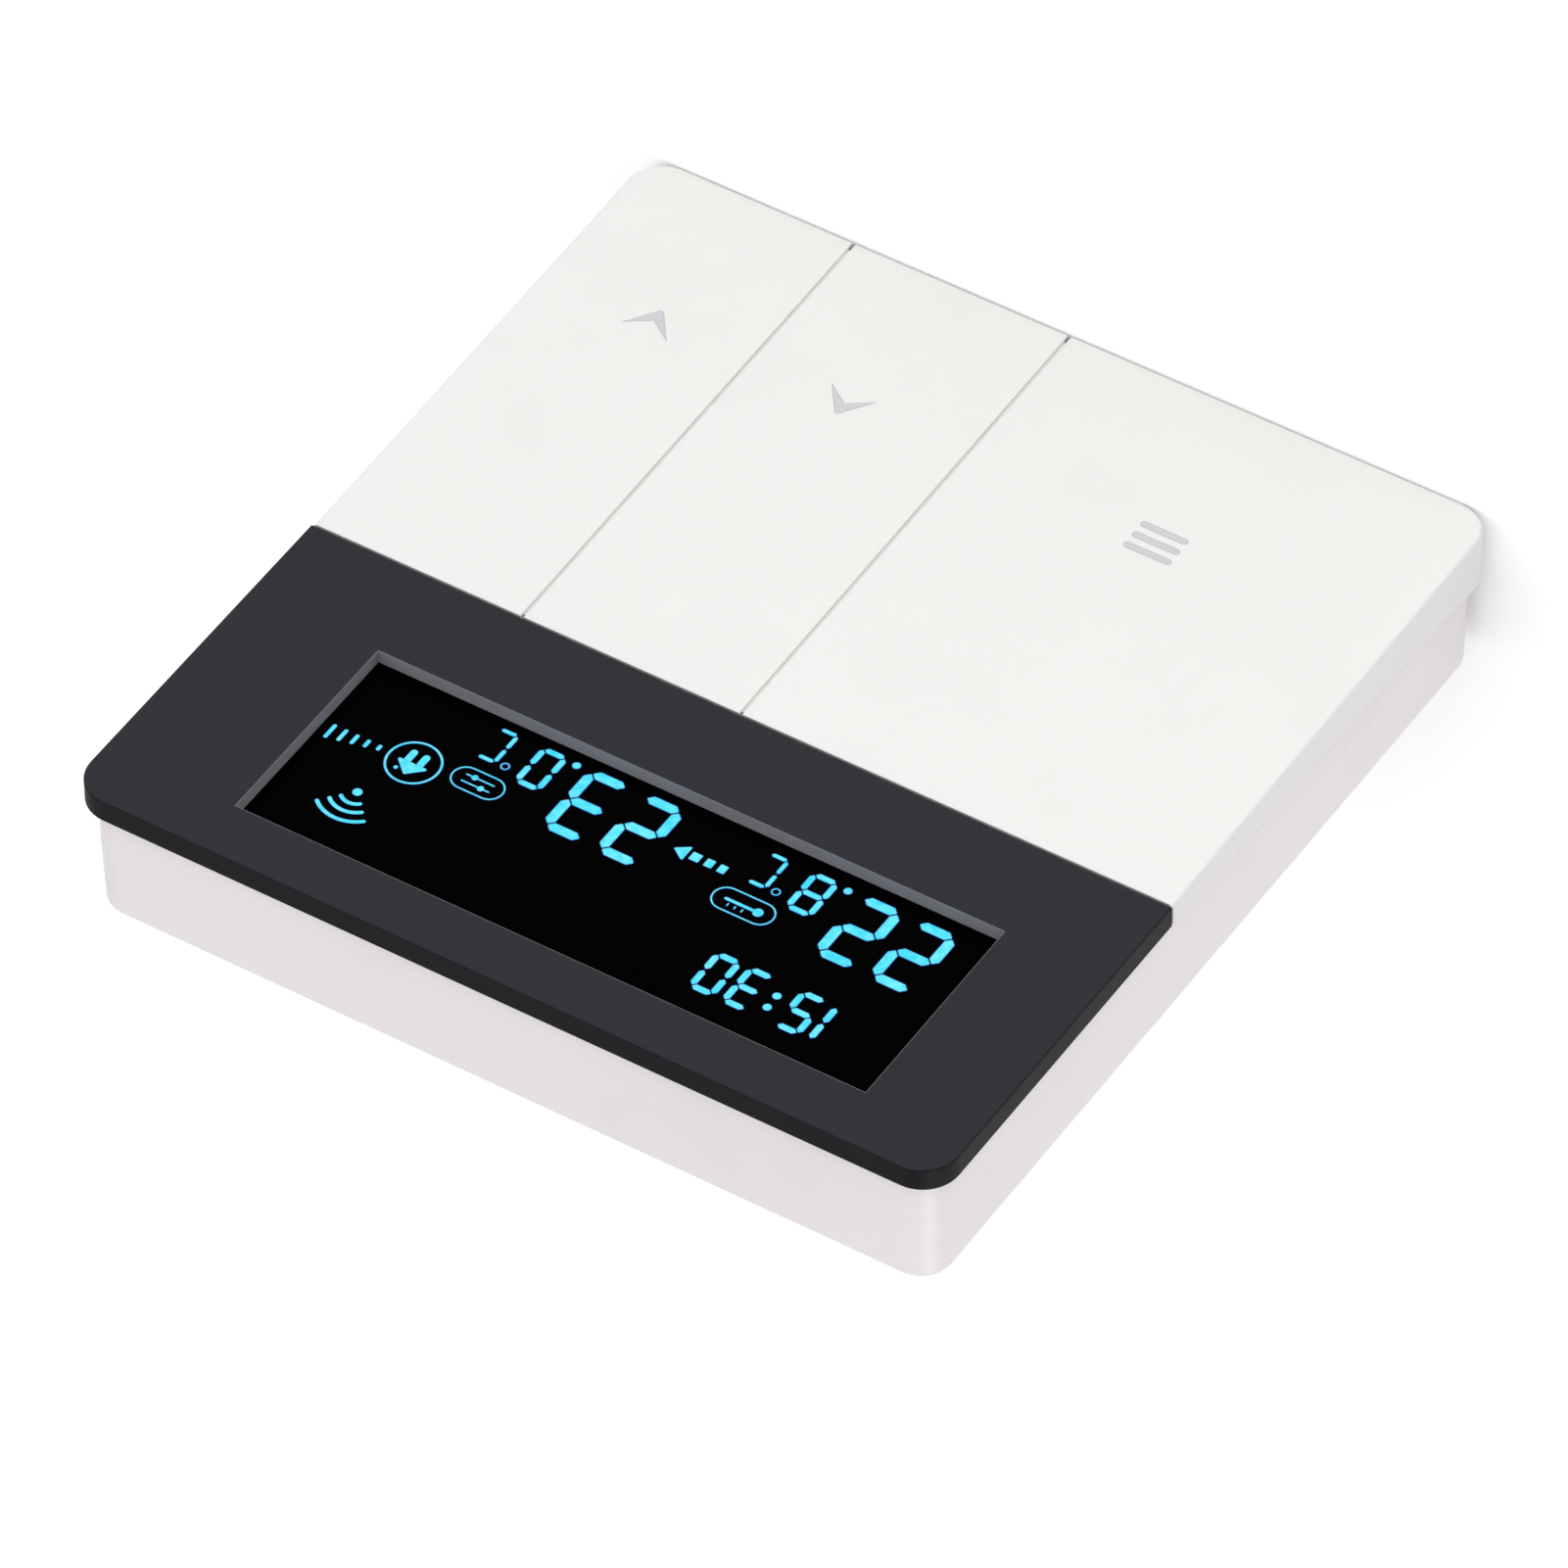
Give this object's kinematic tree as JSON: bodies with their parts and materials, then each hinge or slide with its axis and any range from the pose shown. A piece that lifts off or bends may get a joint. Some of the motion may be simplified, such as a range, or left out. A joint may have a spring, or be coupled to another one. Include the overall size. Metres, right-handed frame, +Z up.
{
  "type": "wall thermostat",
  "caption": "Flat wall thermostat: dark panel with a sunk segment display above three tilting keys, on a white screw-on housing.",
  "frame": {"origin": "on the flat rear face, midway between the two wall screw slots, which is also the centre of the housing's outline", "axes": "+X right as seen by a person who faces the wall, +Y into the wall, +Z up the wall; the display and keys face -Y"},
  "size_m": [0.086, 0.0155, 0.09],
  "materials": {
    "housing_white": "fine moulded satin, warm white",
    "key_white": "very fine moulded texture, warm white",
    "panel_dark": "dark grey, fine satin",
    "adhesive_film": "black foam adhesive",
    "display_glass": "black display face",
    "light_guide": "milky acrylic",
    "led_package": "white package",
    "black_plastic": "black moulded nylon",
    "plunger_plastic": "black moulded",
    "tinned_metal": "tinned",
    "plated_steel": "zinc plated",
    "circuit_board": "green solder mask",
    "module_board": "blue solder mask",
    "chip_plastic": "epoxy moulding",
    "sensor_epoxy": "dipped epoxy",
    "insulating_film": "thin film",
    "terminal_green": "moulded polyamide",
    "relay_blue": "moulded case",
    "ferrite": "ferrite core and taped winding",
    "capacitor_sleeve": "shrunk sleeve",
    "varistor_blue": "dipped epoxy",
    "fuse_case": "moulded case"
  },
  "bodies": {
    "housing": {"backlight_leds": "led_package", "board_header": "black_plastic", "board_socket": "black_plastic", "bulk_capacitors": "capacitor_sleeve", "control_chip": "chip_plastic", "display_board": "circuit_board", "display_board_screws": "plated_steel", "display_panel": "panel_dark", "front_frame": "housing_white", "fuse": "fuse_case", "hinge_rod": "plated_steel", "insulating_sheet": "insulating_film", "lcd_backlight": "light_guide", "lcd_glass": "display_glass", "lcd_holder": "black_plastic", "lcd_pins": "tinned_metal", "panel_adhesive": "adhesive_film", "power_board": "circuit_board", "power_board_screws": "plated_steel", "rear_tray": "housing_white", "relay": "relay_blue", "surge_varistor": "varistor_blue", "switch_down": "black_plastic", "switch_menu": "black_plastic", "switch_up": "black_plastic", "temperature_sensor": "sensor_epoxy", "terminal_block": "terminal_green", "terminal_clamps": "tinned_metal", "terminal_screws": "plated_steel", "transformer": "ferrite", "wifi_module": "module_board", "wifi_shield": "tinned_metal"},
    "menu_key": {"key_menu": "key_white"},
    "menu_plunger": {"plunger_menu": "plunger_plastic"},
    "up_key": {"key_up": "key_white"},
    "up_plunger": {"plunger_up": "plunger_plastic"},
    "down_key": {"key_down": "key_white"},
    "down_plunger": {"plunger_down": "plunger_plastic"}
  },
  "joints": [
    {"name": "menu_key_tilt", "type": "hinge", "parent": "housing", "child": "menu_key", "pos_m": [-0.02173, -0.0113, 0.006], "axis": [1, 0, 0], "range_deg": [0, 0.8], "stiffness_Nm_per_rad": 0.6, "springref_deg": -1.15},
    {"name": "menu_plunger_slide", "type": "slide", "parent": "housing", "child": "menu_plunger", "axis": [0, 1, 0], "range_m": [0, 0.00036]},
    {"name": "up_key_tilt", "type": "hinge", "parent": "housing", "child": "up_key", "pos_m": [0.0107, -0.0113, 0.006], "axis": [1, 0, 0], "range_deg": [0, 0.8], "stiffness_Nm_per_rad": 0.6, "springref_deg": -1.15},
    {"name": "up_plunger_slide", "type": "slide", "parent": "housing", "child": "up_plunger", "axis": [0, 1, 0], "range_m": [0, 0.00036]},
    {"name": "down_key_tilt", "type": "hinge", "parent": "housing", "child": "down_key", "pos_m": [0.03242, -0.0113, 0.006], "axis": [1, 0, 0], "range_deg": [0, 0.8], "stiffness_Nm_per_rad": 0.6, "springref_deg": -1.15},
    {"name": "down_plunger_slide", "type": "slide", "parent": "housing", "child": "down_plunger", "axis": [0, 1, 0], "range_m": [0, 0.00036]}
  ],
  "couplings": [
    {"joint": "menu_plunger_slide", "follows": "menu_key_tilt", "m_per_rad": 0.025},
    {"joint": "up_plunger_slide", "follows": "up_key_tilt", "m_per_rad": 0.025},
    {"joint": "down_plunger_slide", "follows": "down_key_tilt", "m_per_rad": 0.025}
  ]
}
